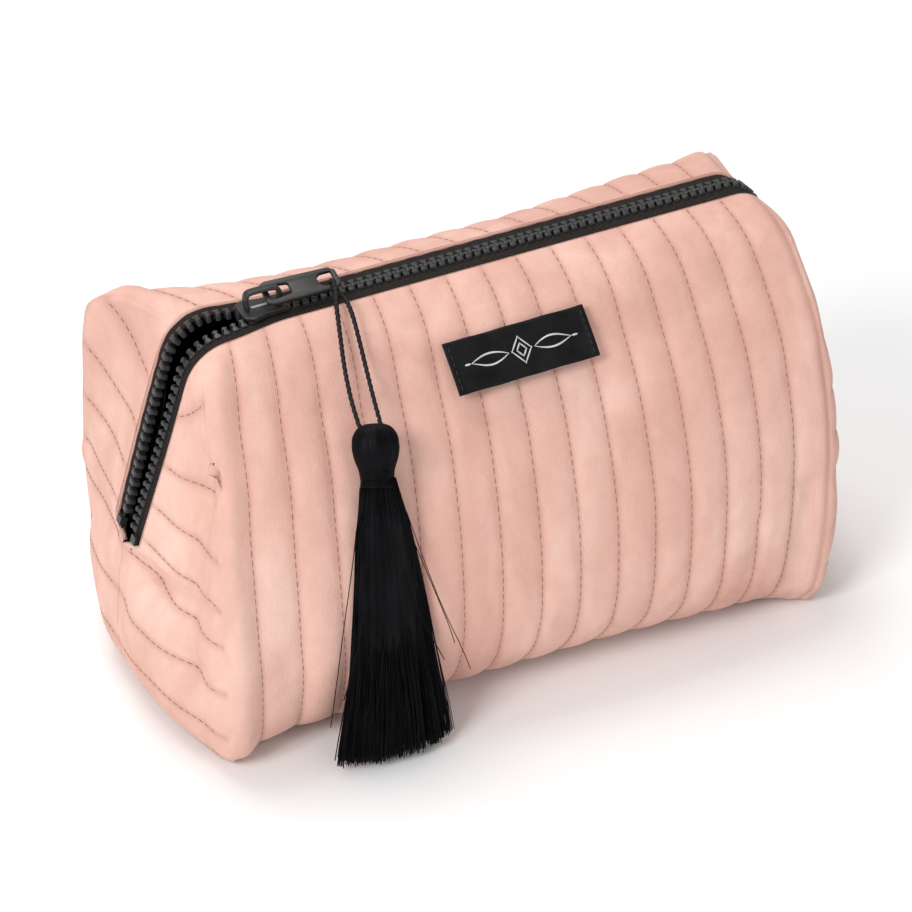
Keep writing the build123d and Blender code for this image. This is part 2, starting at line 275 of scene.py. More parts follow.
zip_xz, zip_run = bent_path(ZIP_CORNER_POINTS, ZIP_BENDS)
ZIP_LENGTH = float(zip_run[-1])
zip_way = np.gradient(zip_xz, zip_run, axis=0)
zip_way = zip_way / np.linalg.norm(zip_way, axis=1)[:, None]


def on_zip(run, lift=0.0):
    """x and z on the zip's middle line, or lifted off it, at a distance from its left end."""
    x, z = (np.interp(run, zip_run, zip_xz[:, k]) for k in (0, 1))
    tx, tz = (np.interp(run, zip_run, zip_way[:, k]) for k in (0, 1))
    size = np.hypot(tx, tz)
    return x - tz / size * lift, z + tx / size * lift


def flow(knots, values, at):
    """A smooth curve through a few chosen values."""
    k, p = np.array(knots, float), np.array(values, float)
    slope = np.gradient(p, k)
    i = np.clip(np.searchsorted(k, at, side="right") - 1, 0, len(k) - 2)
    span = k[i + 1] - k[i]
    t = (at - k[i]) / span
    return ((2 * t**3 - 3 * t**2 + 1) * p[i] + (t**3 - 2 * t**2 + t) * span * slope[i]
            + (3 * t**2 - 2 * t**3) * p[i + 1] + (t**3 - t**2) * span * slope[i + 1])


def unit(ways, least=0.0):
    """Rows of directions, each made one long."""
    return ways / (np.linalg.norm(ways, axis=-1, keepdims=True) + least)


def eased(t):
    """From 0 to 1 with a soft start and end."""
    t = np.clip(t, 0, 1)
    return t * t * (3 - 2 * t)


# Levels go from the base's middle line, -1, by the floor's edge, 0, up to the zip's edge, 1.
LEVELS = [-1, -0.5, 0, 0.08, 0.2, 0.32, 0.45, 0.58, 0.7, 0.8, 0.88, 0.94, 1.0]
SEAM_LEVEL = 0.45
FRONT_MIDDLE = {
    "y": [0, 22, 40, 48, 57, 61, 61.3, 58, 51.5, 42, 30.5, 19, ZIP_EDGE],
    "z": [1.4, 1.0, 1.6, 6, 17, 30, 45, 60, 74.5, 89, 102.5, 113.5, 121.8],
}
BACK_MIDDLE = {
    "y": [0, 22, 42, 50, 58, 61.5, 62, 59.5, 53.5, 45, 33.5, 20, ZIP_EDGE],
    "z": [1.4, 1.0, 1.6, 6, 17, 30, 45, 60, 76, 91, 106, 117.5, 121.8],
}
FRONT_LEFT = {
    "x": [-92, -98, -102, -103, -103.5, -103.5, -104, -103.5, -101.5, -98.5, -96, -94, 0],
    "y": [0, 30, 52, 55, 56.5, 57, 56.5, 54, 47, 38.5, 27, 17, 9.5],
    "z": [1.4, 1.0, 1.6, 6, 17, 30, 45, 60, 75, 88, 100.5, 109.5, 0],
}
FRONT_RIGHT = {
    "x": [87, 91, 92.5, 94, 95, 95.5, 96.2, 97, 97.2, 97, 96, 94.5, 0],
    "y": [0, 30, 52, 55, 56, 55.5, 54, 51.5, 47, 41, 31.5, 20.5, 9],
    "z": [1.4, 1.0, 1.6, 7, 18, 32, 49, 65, 81, 96, 108.5, 118.5, 0],
}
BACK_LEFT = {
    "x": [-92, -98, -103, -104, -105, -106, -107.5, -108, -108.5, -109, -108.5, -106, 0],
    "y": [0, 30, 52, 55, 56.5, 57, 56, 53, 48.5, 43, 35, 23.5, 9.5],
    "z": [1.4, 1.0, 1.6, 6, 17, 30, 46, 62, 81, 99, 113.5, 121.5, 0],
}
BACK_RIGHT = {
    "x": [88, 92, 94, 96, 98, 99.5, 100.5, 101, 101, 100.5, 98.5, 95.5, 0],
    "y": [0, 30, 53, 56, 57, 57, 56, 53.5, 49.5, 43.5, 34, 22.5, 9],
    "z": [1.4, 1.0, 1.6, 7, 18, 32, 49, 66, 84, 102, 117, 125.5, 0],
}
LEFT_END = {
    "x": [-98, -106, -112, -115.5, -118, -117, -114.4],
    "z": [1.4, 1.0, 1.6, 7, 20, 36, 50.5],
}
RIGHT_END = {
    "x": [93, 99, 103, 107, 111, 112.5, 112.6],
    "z": [1.4, 1.0, 1.6, 7, 20, 36, 50.5],
}
END_RUNS = [0, 11, 24, 35, 44, 51, 57]
CORNER_RUNS = {"left": 67, "right": 77}
RIGHT_SHARE = 1.15           # the zip runs this much further down the right end than the left
BASE_REST = 1.1              # the base's face stands this far up where nothing presses it down
END_SHARE = 0.17            # how much of the way round a half each end takes
OPEN_FROM, OPEN_BY = -62, -84
WIDEST = 4.8
LOW_WIDTH = 3.0


def row_gap(run):
    """How far a row of teeth stands off the middle line at a distance along the zip."""
    x, z = on_zip(run)
    spread = eased((OPEN_FROM - x) / (OPEN_FROM - OPEN_BY))
    return spread * (LOW_WIDTH + (WIDEST - LOW_WIDTH) * eased(np.asarray(run) / 45))


def edge_reach(run):
    """How far the velvet's folded edge stays off the zip's middle line."""
    return ZIP_EDGE - 0.2 + 0.72 * row_gap(run)


def end_line(end, level):
    """The middle of an end: the zip's edge above the end seam, and the cloth below it."""
    low = LEFT_END if end == "left" else RIGHT_END
    below = np.minimum(level, SEAM_LEVEL)
    x, z = flow(LEVELS[:7], low["x"], below), flow(LEVELS[:7], low["z"], below)
    run = np.interp(level, LEVELS[6:], END_RUNS)
    run = run if end == "left" else ZIP_LENGTH - run * RIGHT_SHARE
    zx, zz = on_zip(run, EDGE_LIFT)
    above = level > SEAM_LEVEL
    y = np.where(above, edge_reach(run) * eased((level - SEAM_LEVEL) / 0.06), 0)
    return np.where(above, zx, x), y, np.where(above, zz, z)


def corner_line(shape, end, level):
    """A boxed corner's seam, from the base up to where it runs out at the zip."""
    zx, zz = on_zip(CORNER_RUNS[end] if end == "left" else ZIP_LENGTH - CORNER_RUNS[end], EDGE_LIFT)
    heights = shape["z"][:-1] + [float(zz)]
    reach = shape["x"][:-1] + [float(zx)]
    return flow(LEVELS, reach, level), flow(LEVELS, shape["y"], level), flow(LEVELS, heights, level)


def half_form(way, level, side):
    """The plain form of a half: way runs round it from the left end, 0, to the right end, 1."""
    left_corner = corner_line(FRONT_LEFT if side < 0 else BACK_LEFT, "left", level)
    right_corner = corner_line(FRONT_RIGHT if side < 0 else BACK_RIGHT, "right", level)
    middle = FRONT_MIDDLE if side < 0 else BACK_MIDDLE
    at_edge = eased((level - 0.86) / 0.14)

    def drawn_to_zip(x, y, z, run):
        ax, az = on_zip(run, EDGE_LIFT)
        return x + (ax - x) * at_edge, y + (edge_reach(run) - y) * at_edge**3, z + (az - z) * at_edge

    parts = []
    for end, (cx, cy, cz) in (("left", left_corner), ("right", right_corner)):
        ex, ey, ez = end_line(end, level)
        s = np.clip((way if end == "left" else 1 - way) / END_SHARE, 0, 1)
        full = 2.6 - 1.2 * eased((level - 0.3) / 0.4)
        last = END_RUNS[-1] if end == "left" else END_RUNS[-1] * RIGHT_SHARE
        run = last + (CORNER_RUNS[end] - last) * s
        run = run if end == "left" else ZIP_LENGTH - run
        x, y, z = ex + (cx - ex) * s**full, ey + (cy - ey) * s, ez + (cz - ez) * s**1.2
        parts.append(drawn_to_zip(x, y, z, run))
    s = np.clip((way - END_SHARE) / (1 - 2 * END_SHARE), 0, 1)
    (lx, ly, lz), (rx, ry, rz) = left_corner, right_corner
    my, mz = flow(LEVELS, middle["y"], level), flow(LEVELS, middle["z"], level)
    hump = 1 - np.abs(2 * s - 1)**(6.0 - 3.4 * eased((level + 0.02) / 0.25))
    run = CORNER_RUNS["left"] + (ZIP_LENGTH - CORNER_RUNS["left"] - CORNER_RUNS["right"]) * s
    x = lx + (rx - lx) * s
    y = (ly + (ry - ly) * s) * (1 - hump) + my * hump
    z = (lz + (rz - lz) * s) * (1 - hump) + (mz + math.tan(CLIMB) * x * eased(level)) * hump
    parts.append(drawn_to_zip(x, y, z, run))
    on_left, on_right = way < END_SHARE, way > 1 - END_SHARE
    out = [np.where(on_left, a, np.where(on_right, b, m)) for a, b, m in zip(*parts)]
    return np.stack([out[0], side * out[1], np.maximum(out[2], BASE_REST)], -1)


# The quilting runs across the panel: upright on the front and back, level on the two ends.
CHANNELS = 16
LINE_SHARES = [(k - 0.2) / CHANNELS for k in range(1, CHANNELS + 1)]
END_LINE_LEVELS = [0.03, 0.17, 0.31, SEAM_LEVEL, 0.55, 0.66, 0.78, 0.9]


def quilting(way, level):
    """How far each point is from the quilting's lines, from 0 on a line to 1 between two."""
    share = (way - END_SHARE) / (1 - 2 * END_SHARE) * CHANNELS + 0.2
    front = 1 - np.abs(2 * (share - np.floor(share)) - 1)
    marks = np.array([-1.0, -0.5] + END_LINE_LEVELS + [1.02])
    i = np.clip(np.searchsorted(marks, level, side="right") - 1, 0, len(marks) - 2)
    t = (level - marks[i]) / (marks[i + 1] - marks[i])
    end = 1 - np.abs(2 * np.clip(t, 0, 1) - 1)
    on_end = (way < END_SHARE) | (way > 1 - END_SHARE)
    return np.where(on_end, end, front), on_end


def lumps(place, size, seed):
    """Soft random unevenness from a few waves, the same on every run."""
    wave = np.random.default_rng(seed)
    total = 0
    for _ in range(9):
        way = wave.normal(size=3)
        way = way / np.linalg.norm(way) * 2 * math.pi / (size * wave.uniform(0.7, 1.5))
        total = total + np.sin(place @ way + wave.uniform(0, 6.28))
    return total / 9


# Creases in the soft cloth: the line each follows, its width and its depth.
CREASES = {
    -1: [(((-114, -14, 48), (-113, -24, 51), (-110, -38, 53), (-106, -50, 55)), 2.8, 2.2),
         (((-101, -17, 101), (-105, -26, 90), (-108, -34, 74), (-110, -40, 52), (-109, -43, 30)), 4.4, 2.4),
         (((-97, -36, 94), (-98, -46, 78), (-98, -54, 56), (-98, -58, 36)), 4.6, -0.5),
         (((-110, -20, 78), (-109, -34, 68)), 5.0, -1.2),
         (((-115, -16, 38), (-112, -32, 40), (-107, -46, 40)), 6.0, -2.0),
         (((-110, -34, 20), (-104, -48, 6)), 2.4, 1.4),
         (((68, -58, 40), (64, -55, 12)), 4.0, 1.1), (((88, -56, 48), (82, -54, 12)), 4.5, 1.3)],
    1: [(((-114, 16, 44), (-114, 26, 40), (-109, 44, 34)), 3.6, 1.4),
        (((112, 18, 44), (110, 28, 40), (104, 46, 32)), 4.0, 1.0)],
}
# Where the soft cloth is pressed in (or, below zero, stands out): place, reach, depth.
DENTS = {
    -1: [((-102, -34, 84), (7, 9, 17), 4.0), ((-116, -26, 52), (9, 20, 5), 2.2),
         ((-114, -40, 34), (9, 7, 12), 2.4), ((-103, -57, 14), (9, 9, 11), -2.2),
         ((-85, -56, 30), (8, 12, 30), 1.6), ((86, -55, 22), (5, 9, 22), 1.8),
         ((74, -56, 16), (4, 9, 17), 1.2), ((97, -54, 30), (5, 9, 26), -1.6),
         ((-70, -20, 112), (7, 8, 8), 1.2),
         ((30, -58, 24), (34, 9, 12), -1.0), ((-112, -14, 26), (9, 12, 9), -2.5)],
    1: [((-108, 17, 110), (7, 8, 9), 3.5), ((-112, 30, 80), (9, 12, 14), 2.0),
        ((-118, 24, 48), (9, 18, 6), 2.5), ((-100, 26, 120), (8, 7, 6), -1.5),
        ((20, 60, 60), (30, 9, 20), 1.5), ((-60, 58, 40), (20, 9, 24), 1.2),
        ((110, 30, 60), (9, 12, 20), 2.0)],
}


def quilted(way, level, side):
    """The finished face of a half: its form, pillowed between the quilting's lines."""
    round_step, up_step = 0.014, 0.02
    place = half_form(way, level, side)
    along = (half_form(np.clip(way + round_step, 0, 1), level, side)
             - half_form(np.clip(way - round_step, 0, 1), level, side))
    up = (half_form(way, np.clip(level + up_step, -1, 1), side)
          - half_form(way, np.clip(level - up_step, -1, 1), side))
    out = np.cross(along, up) * (-side)
    out = unit(out, 1e-9)
    # beside the zip's own ends the cloth turns too fast to tell, so it is taken to face outward
    inside = np.stack([np.clip(place[..., 0], -80, 80), 0 * level, np.full_like(level, 45.0)], -1)
    outward_way = unit(place - inside)
    unsure = eased(1.6 - np.minimum(way, 1 - way) / 0.03) * eased(2.2 - np.abs(level - 0.48) / 0.05)
    out = out * (1 - unsure[..., None]) + outward_way * unsure[..., None]
    out = unit(out, 1e-9)
    between, on_end = quilting(way, level)
    from_corner = np.minimum(np.abs(way - END_SHARE), np.abs(way - 1 + END_SHARE))
    off_edge = eased((1 - level) / 0.09)
    off_side = eased((np.minimum(way, 1 - way) - 0.001) / 0.028)
    below_seam = 1 - (1 - off_side) * eased((level - 0.4) / 0.05)
    off_edge = off_edge * np.where(level > SEAM_LEVEL, off_side, below_seam)
    fat = np.where(on_end, np.where(level < SEAM_LEVEL, 0.35, 0.6), 0.95 - 0.5 * eased((0.12 - level) / 0.1))
    fat = fat * (1 + 0.5 * lumps(place, 46, 5)) * off_edge
    pillow = fat * (1 - (1 - between)**2.4)
    puckers = 0.22 * lumps(place * np.array([1, 1, 2.0]), 8, 11) * np.exp(-between * 2.5) * off_edge
    uneven = 1.3 * lumps(place, 62, 3) + np.where(on_end, 1.0, 0.25) * lumps(place, 24, 8)
    seam = -0.5 * np.exp(-(from_corner / 0.008)**2) + 0.6 * np.exp(-((from_corner - 0.015) / 0.009)**2)
    rise = pillow + puckers + (seam - 0.6) * off_edge
    rise = rise * eased((level + 0.12) / 0.15) + uneven * eased((level - 0.02) / 0.15) * off_edge
    for centre, reach, depth in DENTS[side]:
        away = (((place - np.array(centre)) / np.array(reach))**2).sum(-1)
        rise = rise - depth * np.exp(-away) * off_edge * eased(np.minimum(way, 1 - way) / 0.03)
    off_end = eased(np.minimum(way, 1 - way) / 0.04)
    for route, width, depth in CREASES[side]:
        nearest = np.full(way.shape, 1e9)
        for a, b in zip(route, route[1:]):
            a, b = np.array(a, float), np.array(b, float)
            t = np.clip(((place - a) @ (b - a)) / ((b - a) @ (b - a)), 0, 1)
            nearest = np.minimum(nearest, np.linalg.norm(place - a - t[..., None] * (b - a), axis=-1))
        rise = rise - depth * np.exp(-(nearest / width)**2) * off_edge * off_end
    return place + out * rise[..., None], between, off_edge


def grid_faces(rows, columns, flip=False):
    """The quads of a grid whose corners are listed row by row."""
    faces = []
    for r in range(rows - 1):
        for c in range(columns - 1):
            a = r * columns + c
            quad = (a, a + 1, a + columns + 1, a + columns)
            faces.append(tuple(reversed(quad)) if flip else quad)
    return faces


velvet, tree, shader = finish_of(
    "blush_velvet", (0.73, 0.44, 0.375), 0.92, Sheen_Weight=0.18, Sheen_Roughness=0.4,
    Sheen_Tint=(1.0, 0.74, 0.64, 1), Specular_IOR_Level=0.1)
nap = noise_of(tree, 19, 5, (1, 1, 0.6), 1.6)
fine_nap = noise_of(tree, 140, 3, (1, 1, 0.6), 0.6)
pile = noise_of(tree, 2300, 2)
nap_colour = ramp_of(tree, nap, [
    (0.33, (0.67, 0.385, 0.32)), (0.53, (0.75, 0.465, 0.39)), (0.7, (0.82, 0.55, 0.47))])
fine_colour = ramp_of(tree, fine_nap, [(0.3, (0.92, 0.9, 0.89)), (0.7, (1.0, 1.0, 1.0))])
mix = tree.nodes.new("ShaderNodeMix")
mix.data_type = "RGBA"
mix.blend_type = "MULTIPLY"
mix.inputs["Factor"].default_value = 1
tree.links.new(nap_colour, mix.inputs["A"])
tree.links.new(fine_colour, mix.inputs["B"])
# painted shade: the velvet's colour is mixed towards a deeper rose along the quilting's lines and on the
# folded edge by the zip, where shade falls in the valleys
groove_shade_amount = tree.nodes.new("ShaderNodeAttribute")
groove_shade_amount.attribute_name = "groove_shade_amount"
painted_groove_shade = tree.nodes.new("ShaderNodeMix")
painted_groove_shade.data_type = "RGBA"
painted_groove_shade.blend_type = "MIX"
tree.links.new(groove_shade_amount.outputs["Fac"], painted_groove_shade.inputs["Factor"])
tree.links.new(mix.outputs["Result"], painted_groove_shade.inputs["A"])
painted_groove_shade.inputs["B"].default_value = (0.47, 0.235, 0.185, 1)
tree.links.new(painted_groove_shade.outputs["Result"], shader.inputs["Base Color"])
bump_of(tree, shader, (nap, 0.25, 0.0015), (fine_nap, 0.3, 0.0007), (pile, 0.6, 0.0003))


# Rows and columns fall on the quilting's lines, so that the stitches lie in their valleys.
def divided(marks, steps):
    """Even steps between each two marks."""
    runs = [np.linspace(a, b, max(2, int(round((b - a) * steps))), endpoint=False)
            for a, b in zip(marks, marks[1:])]
    return np.concatenate(runs + [[marks[-1]]])


FOLD = [(0.26, -0.12), (0.42, -0.5), (0.44, -1.3)]
face_marks = [END_SHARE + (1 - 2 * END_SHARE) * share for share in [0] + LINE_SHARES + [1]]
ways = divided([0] + face_marks + [1], 235)
levels = divided([-1, -0.5, 0] + END_LINE_LEVELS + [1], 96)
for name, side in (("front", -1), ("back", 1)):
    way_grid, level_grid = np.meshgrid(ways, levels)
    places, between, off_edge = quilted(way_grid, level_grid, side)
    closed = ((way_grid == 0) | (way_grid == 1)) & (level_grid <= SEAM_LEVEL)
    places[..., 1] = np.where(closed, 0, places[..., 1])
    places[0, :, 1] = 0
    places[..., 2] = np.maximum(places[..., 2], 0.35)
    # how much painted shade darkens the velvet's colour, strongest on the quilting's lines
    depth = 0.5 * np.exp(-(between * 6)**2)
    verts = list(places.reshape(-1, 3))
    marks = list(depth.reshape(-1))
    fill = np.clip(off_edge, 0.08, 1) * np.where(level_grid < 0.02, 0.3, 1)
    fill = list(fill.reshape(-1))
    count = len(ways)
    faces = grid_faces(len(levels), count, flip=side > 0)
    # the folded edge along the zip: up the left end, along the top and down the right end
    rows_up = [r for r, level in enumerate(levels) if level > SEAM_LEVEL]
    edge = ([r * count for r in rows_up[:-1]] + [rows_up[-1] * count + c for c in range(count)]
            + [r * count + count - 1 for r in reversed(rows_up[:-1])])
    for inward, lift in FOLD:
        ring = []
        for i in edge:
            x, y, z = verts[i]
            run = zip_run[np.argmin((zip_xz[:, 0] - x)**2 + (zip_xz[:, 1] - z)**2)]
            (bx, bz), (ox, oz) = on_zip(run), on_zip(run, 1.0)
            near = min(1.0, abs(y) / 6)
            verts.append(np.array([x + (ox - bx) * lift, y - side * inward * near, z + (oz - bz) * lift]))
            # painted shade on the folded edge where it turns in under the zip
            marks.append(0.25)
            fill.append(0.08)
            ring.append(len(verts) - 1)
        last = edge if inward == FOLD[0][0] else last_ring
        for k in range(len(edge) - 1):
            quad = (last[k], last[k + 1], ring[k + 1], ring[k])
            faces.append(tuple(reversed(quad)) if side < 0 else quad)
        last_ring = ring
    panel = piece_of(f"{name}_quilted_panel", np.array(verts) * MM, faces, velvet, "bag")
    # the painted shade is handed to the velvet's colour as a point attribute
    values = panel.data.attributes.new("groove_shade_amount", "FLOAT", "POINT")
    values.data.foreach_set("value", np.array(marks, np.float32))
    thickness = panel.modifiers.new("wadding", "SOLIDIFY")
    thickness.thickness = 0.0026
    thickness.offset = -1
    thickness.use_quality_normals = True
    full = panel.vertex_groups.new(name="wadding")
    for i, weight in enumerate(fill):
        full.add([i], float(weight), "REPLACE")
    thickness.vertex_group = "wadding"
    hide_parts(f"{name}_panel", f"{name}_wadding", f"{name}_quilt_thread")


def stitch(start, end, out, thickness):
    """One stitch of thread: a short bar whose ends dip into the cloth."""
    verts = []
    way = (end - start)
    size = np.linalg.norm(way)
    way = way / size
    across = np.cross(way, out)
    across = across / np.linalg.norm(across)
    stations = [(0, -1.4, 0.5), (0.16, -0.2, 0.95), (0.5, 0.1, 1.05), (0.84, -0.2, 0.95), (1, -1.4, 0.5)]
    for share, rise, fat in stations:
        middle = start + way * size * share + out * thickness * rise
        for k in range(6):
            angle = math.pi * k / 3
            verts.append(middle + (across * math.cos(angle) + out * math.sin(angle)) * thickness * fat)
    return verts, tube_faces(len(stations), 6)


def joined(*meshes):
    """Several sets of points and faces as one."""
    verts, faces = [], []
    for more, sides in meshes:
        base = len(verts)
        verts += [tuple(v) for v in more]
        faces += [tuple(base + i for i in side) for side in sides]
    return verts, faces


def sewn(runs, length, gap, thickness):
    """Rows of stitches along lines of (points, outward normals)."""
    stitches = []
    for points, normals in runs:
        run = np.concatenate([[0], np.cumsum(np.linalg.norm(np.diff(points, axis=0), axis=1))])
        starts = np.arange(gap, run[-1] - length, length + gap)
        for start in starts:
            a, b, out = (
                np.array([np.interp(at, run, rows[:, k]) for k in range(3)])
                for at, rows in ((start, points), (start + length, points), (start + length / 2, normals)))
            stitches.append(stitch(a, b, out / np.linalg.norm(out), thickness))
    return joined(*stitches)


def on_half(way, level, side):
    """Points on a half's finished face, and which way it faces there."""
    place = quilted(way, level, side)[0]
    e = 0.002
    along = quilted(np.clip(way + e, 0, 1), level, side)[0] - quilted(np.clip(way - e, 0, 1), level, side)[0]
    up = quilted(way, np.clip(level + e, -1, 1), side)[0] - quilted(way, np.clip(level - e, -1, 1), side)[0]
    out = np.cross(along, up) * (-side)
    return place, unit(out, 1e-9)


# The lining is a thin black satin, cut as the panels are and a little loose inside them.
# It is sewn in with them along the zip and the seams.
lining_satin, tree, shader = finish_of("lining_satin", (0.02, 0.018, 0.02), 0.45, Specular_IOR_Level=0.3)
weave = noise_of(tree, 1500, 2)
creases = noise_of(tree, 60, 3, (1, 1, 0.4), 0.8)
coloured_by(tree, shader, weave, [(0.3, (0.014, 0.012, 0.014)), (0.7, (0.026, 0.023, 0.026))])
bump_of(tree, shader, (creases, 0.4, 0.002), (weave, 0.2, 0.0001))
LINING_IN = 6.6
for name, side in (("front", -1), ("back", 1)):
    columns_of_lining = np.linspace(0, 1, 121)
    rows_of_lining = np.linspace(-1, 1, 70)
    way_grid, level_grid = np.meshgrid(columns_of_lining, rows_of_lining)
    place = half_form(way_grid, level_grid, side)
    x = place[..., 0]
    middle = np.stack([np.clip(x, -62, 62), 0 * x, np.full_like(x, 55)], -1)
    inward = unit(middle - place)
    slack = LINING_IN + 1.0 * lumps(place, 40, 17) + 0.7 * lumps(place * np.array([1, 1, 0.5]), 17, 18)
    place = place + inward * (slack - 2.2 * eased((level_grid - 0.85) / 0.15))[..., None]
    place[..., 1] = np.where(side * place[..., 1] < 0.3, side * 0.3, place[..., 1])
    place[..., 2] = np.clip(place[..., 2], 3.2, None)
    faces = grid_faces(len(rows_of_lining), len(columns_of_lining), flip=side > 0)
    sheet = piece_of(f"{name}_lining_cloth", place.reshape(-1, 3) * MM, faces, lining_satin, "bag")
    thin = sheet.modifiers.new("cloth", "SOLIDIFY")
    thin.thickness = 0.0003
    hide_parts(f"{name}_lining")


# The quilting is lockstitched in a dusty rose polyester thread, along the lines that hold
# the velvet down on its wadding.
# The thread's colour is partly its own dusty rose and partly painted shade: it is made much darker, as the
# stitch lines look in the shade of their valleys.
thread, tree, shader = finish_of("rose_thread_with_painted_shade", (0.32, 0.15, 0.11), 0.8, Specular_IOR_Level=0.2)
twist = noise_of(tree, 3000, 2)
coloured_by(tree, shader, twist, [(0.3, (0.26, 0.115, 0.085)), (0.7, (0.40, 0.20, 0.155))])
bump_of(tree, shader, (twist, 0.3, 0.0001))
STITCH_LENGTH, STITCH_GAP, THREAD_RADIUS = 2.3, 0.45, 0.16
for name, side in (("front", -1), ("back", 1)):
    runs = []
    steps = np.linspace(-0.98, 0.995, 340)
    for share in LINE_SHARES[:-1]:
        runs.append(on_half(np.full_like(steps, END_SHARE + (1 - 2 * END_SHARE) * share), steps, side))
    for level in END_LINE_LEVELS:
        for low, high in ((0.012, END_SHARE - 0.008), (1 - END_SHARE + 0.008, 0.988)):
            across = np.linspace(low, high, 90)
            runs.append(on_half(across, np.full_like(across, level), side))
    verts, faces = sewn(runs, STITCH_LENGTH, STITCH_GAP, THREAD_RADIUS)
    piece_of(f"{name}_quilting_stitches", np.array(verts) * MM, faces, thread, "bag")


# The zip's tapes are woven polyester, sewn under the velvet's folded edges. Each carries one
# row of moulded teeth along its corded edge.
tape_cloth, tree, shader = finish_of("zip_tape", (0.02, 0.015, 0.013), 0.85, Specular_IOR_Level=0.15)
ribs = stripes_of(tree, 620, "DIAGONAL", 1.0)
fuzz = noise_of(tree, 1800, 2)
coloured_by(tree, shader, fuzz, [(0.3, (0.008, 0.006, 0.005)), (0.75, (0.034, 0.026, 0.022))])
bump_of(tree, shader, (ribs, 0.5, 0.00025), (fuzz, 0.4, 0.0002))
TAPE_SECTION = [(1.5, 0.0), (1.7, 0.32), (2.2, 0.42), (2.8, 0.22), (4.5, 0.12), (7.0, 0.0), (9.2, -0.5),
                (9.2, -0.9), (7.0, -0.45), (4.5, -0.35), (2.8, -0.3), (2.0, -0.45), (1.6, -0.3)]
runs = np.arange(1.0, ZIP_LENGTH - 0.5, 1.2)
for name, side in (("front", -1), ("back", 1)):
    verts = []
    for run in runs:
        gap = float(row_gap(run))
        for across, lift in TAPE_SECTION:
            wave = 0.12 * math.sin(run * 0.9) * max(0, across - 3) / 5
            tucked = 1 - float(eased((min(run, ZIP_LENGTH - run) - 1) / 11))
            if across > 3:
                wave -= 0.9 * tucked
                across = 3 + (across - 3) * (1 - 0.9 * tucked)
            x, z = on_zip(run, lift + wave)
            stretch = gap if across < 5 else gap * 0.9
            verts.append((x, side * (across + stretch), z))
    count = len(TAPE_SECTION)
    faces = [quad if side > 0 else tuple(reversed(quad)) for quad in ring_faces(len(runs), count)]
    faces.append(tuple(range(count)))
    faces.append(tuple(range((len(runs) - 1) * count, len(runs) * count)))
    tape = piece_of(f"{name}_tape", np.array(verts) * MM, faces, tape_cloth, "bag")
    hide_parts(f"{name}_zip_tape")


# The teeth are moulded acetal, each clamped round its tape's corded edge. A tooth has a broad
# foot, a waist and a head that locks between two heads of the other row.
acetal, tree, shader = finish_of("black_acetal", (0.02, 0.02, 0.021), 0.4, Specular_IOR_Level=0.42)
mottle = noise_of(tree, 700, 3)
coloured_by(tree, shader, mottle, [(0.3, (0.011, 0.011, 0.012)), (0.7, (0.034, 0.034, 0.036))])
bump_of(tree, shader, (mottle, 0.12, 0.0002))
PITCH = 2.9
TOOTH = [(0.95, 2.85), (1.12, 2.4), (1.0, 1.6), (0.5, 0.75),
         (0.55, 0.4), (0.92, -0.1), (0.86, -0.5), (0.4, -0.95)]
TOOTH_LEVELS = [(-1.25, 0.6), (-1.0, 0.95), (0.0, 1.0), (0.75, 1.0), (1.12, 0.82), (1.3, 0.5)]


def soften_edges(piece, width):
    """Rounds the edges, as a mould leaves them."""
    bevel = piece.modifiers.new("moulded_edge", "BEVEL")
    bevel.width = width
    bevel.segments = 2
    bevel.limit_method = "ANGLE"


def tooth_mesh():
    """One tooth: x along the zip, y towards its own tape, z out of the bag."""
    ring = TOOTH + [(-x, y) for x, y in reversed(TOOTH)]
    verts = []
    middle = 0.9
    for height, share in TOOTH_LEVELS:
        for x, y in ring:
            verts.append((x * (0.55 + 0.45 * share), middle + (y - middle) * (0.72 + 0.28 * share), height))
    return verts, tube_faces(len(TOOTH_LEVELS), len(ring))


tooth_verts, tooth_faces = tooth_mesh()
for name, side in (("front", -1), ("back", 1)):
    verts, faces = [], []
    first = 8 if side < 0 else 8 + PITCH / 2
    for i in range(int((ZIP_LENGTH - first - 8) / PITCH)):
        run = first + i * PITCH
        gap = float(row_gap(run))
        (x, z), (ox, oz) = on_zip(run), on_zip(run, 1.0)
        ox, oz = ox - x, oz - z
        tilt = 0.28 if gap > 2 else 0
        base = len(verts)
        for a, b, c in tooth_verts:
            b2, c2 = b * math.cos(tilt) + c * math.sin(tilt), c * math.cos(tilt) - b * math.sin(tilt) * 0.6
            verts.append((x + oz * a + ox * c2, side * (b2 + gap), z - ox * a + oz * c2))
        for face in tooth_faces:
            face = tuple(base + q for q in face)
            faces.append(face if side < 0 else tuple(reversed(face)))
    row = piece_of(f"{name}_teeth", np.array(verts) * MM, faces, acetal, "bag")
    soften_edges(row, 0.00014)
    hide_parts(f"{name}_zip_teeth")


# The slider is one moulding: two plates with side walls, a wedge between the rows, and a
# bridge over the top that holds the pull tab. The tab is a flat moulding with two holes.
slide = next(j for j in frame["joints"] if j["name"] == "zip_slide")
along = Vector(slide["axis"]).normalized()
above = Vector((-along.z, 0, along.x))
slider_at = Vector((-67, 0, 117)) * MM
PLATE_LOW, PLATE_HIGH = 1.35, 2.3
TAB_ROLL, TAB_DROP = math.radians(20), math.radians(2)


def in_place(origin, x_way, y_way, z_way, points):
    """Points in millimetres on a piece's own axes, put where the piece is."""
    return [origin + (x_way * x + y_way * y + z_way * z) * MM for x, y, z in points]


